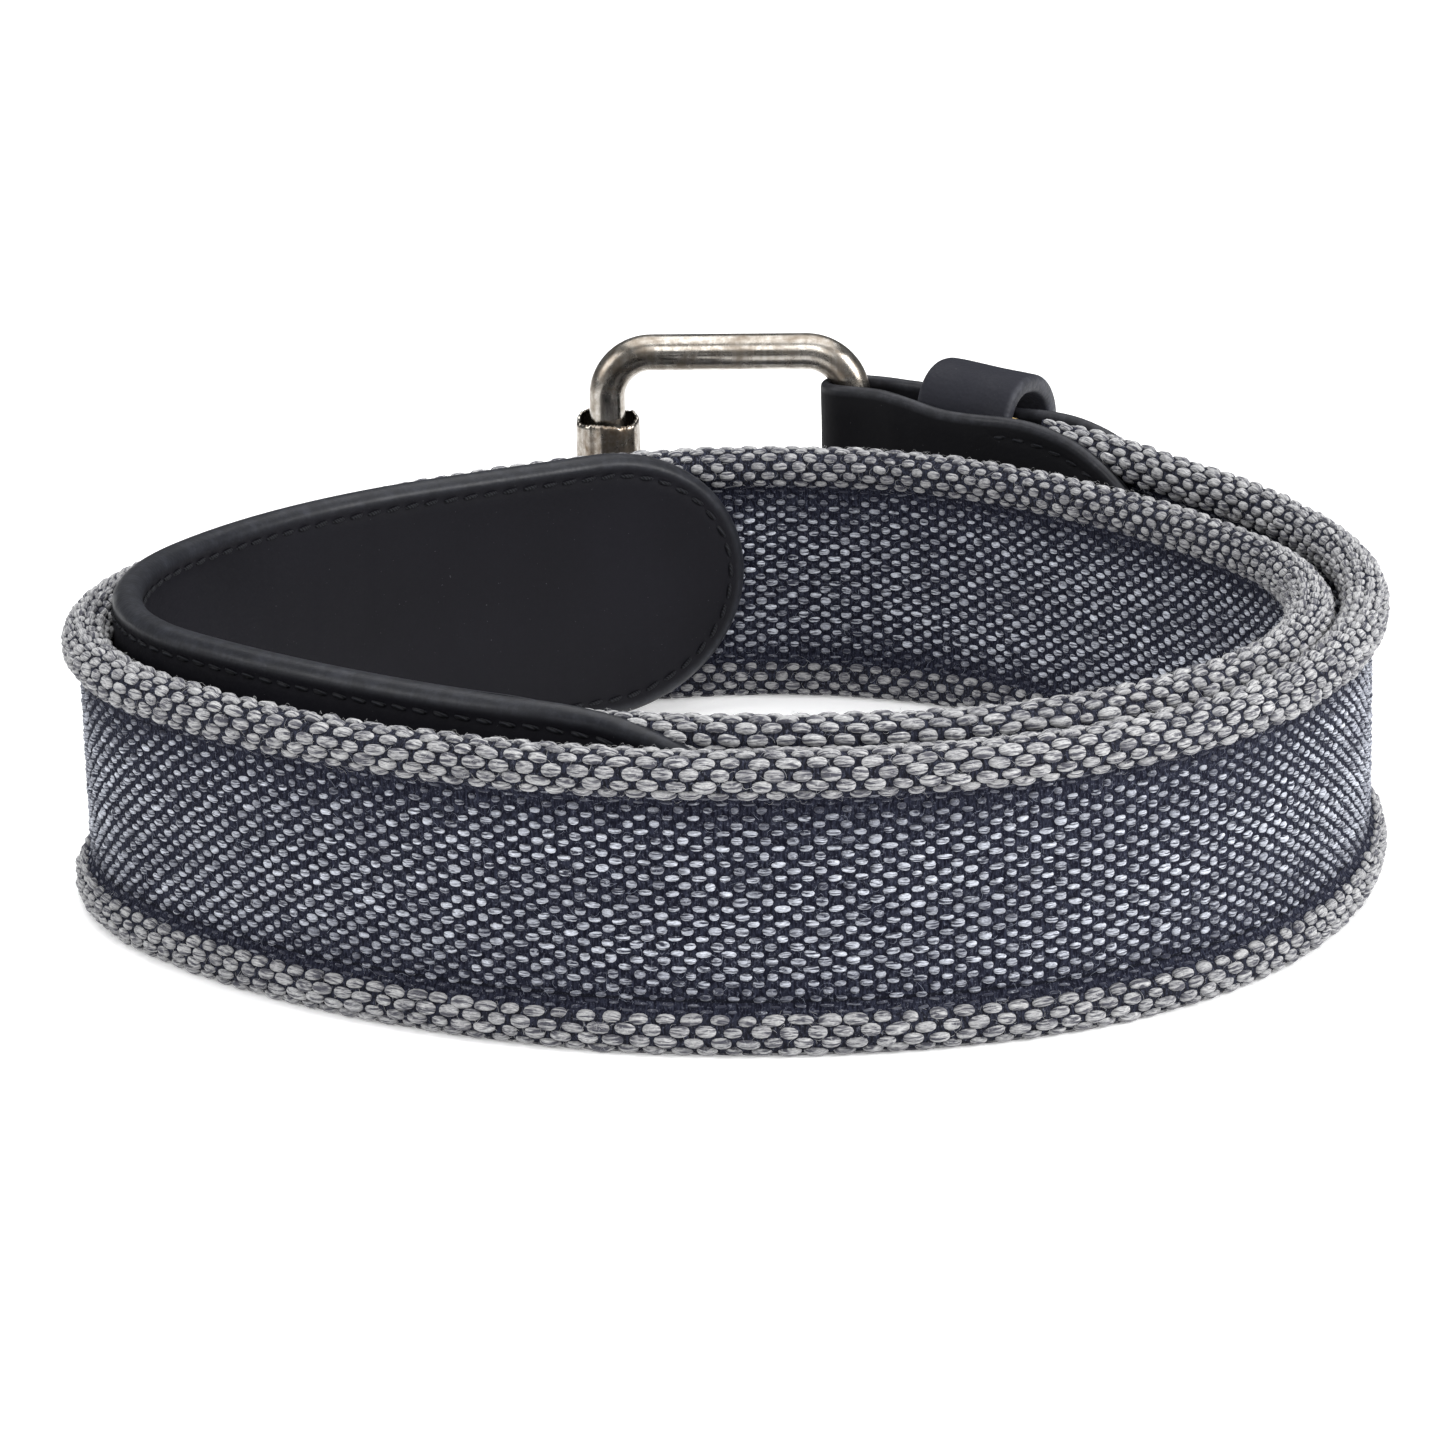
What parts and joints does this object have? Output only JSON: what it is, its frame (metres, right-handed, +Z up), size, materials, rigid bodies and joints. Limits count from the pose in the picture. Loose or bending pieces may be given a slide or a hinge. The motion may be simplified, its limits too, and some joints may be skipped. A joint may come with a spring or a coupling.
{
  "type": "woven belt with buckle",
  "caption": "Woven belt with rolled edges and leather ends, coiled on its edge, with a roller buckle and a keeper.",
  "frame": {"origin": "on the floor, in the middle of the coiled belt's box", "axes": "+Z up from the floor along the belt's height, +Y from the front of the coil to the buckle behind it, +X to the right"},
  "size_m": [0.1771, 0.1873, 0.053],
  "materials": {
    "woven_webbing": "woven, pale rolled edges and a navy ground",
    "filler_cord": "twisted cotton",
    "tip_leather": "smooth satin, burnished edges",
    "core_board": "raw",
    "thread": "waxed",
    "tab_leather": "smooth satin, burnished edges",
    "keeper_leather": "fine grain",
    "staple_wire": "bright",
    "aged_metal": "antique nickel, brown in the recesses"
  },
  "bodies": {
    "belt": {"webbing": "woven_webbing", "upper_filler_cord": "filler_cord", "lower_filler_cord": "filler_cord", "tip_outer_leather": "tip_leather", "tip_inner_leather": "tip_leather", "tip_core": "core_board", "tip_stitching": "thread", "tab_leather": "tab_leather", "tab_stitching": "thread", "keeper_loop": "keeper_leather", "keeper_staple": "staple_wire"},
    "buckle": {"buckle_frame": "aged_metal"},
    "roller": {"buckle_roller": "aged_metal"},
    "prong": {"buckle_prong": "aged_metal"}
  },
  "joints": [
    {"name": "buckle_swivel", "type": "hinge", "parent": "belt", "child": "buckle", "pos_m": [0.0201, 0.0803, 0.0265], "axis": [0, 0, 1], "range_deg": [-45, 6]},
    {"name": "roller_spin", "type": "hinge", "parent": "buckle", "child": "roller", "pos_m": [-0.01726, 0.08357, 0.0265], "axis": [0, 0, 1], "continuous": true},
    {"name": "prong_pivot", "type": "hinge", "parent": "buckle", "child": "prong", "pos_m": [0.0201, 0.0803, 0.0265], "axis": [0, 0, -1], "range_deg": [0, 85]}
  ]
}
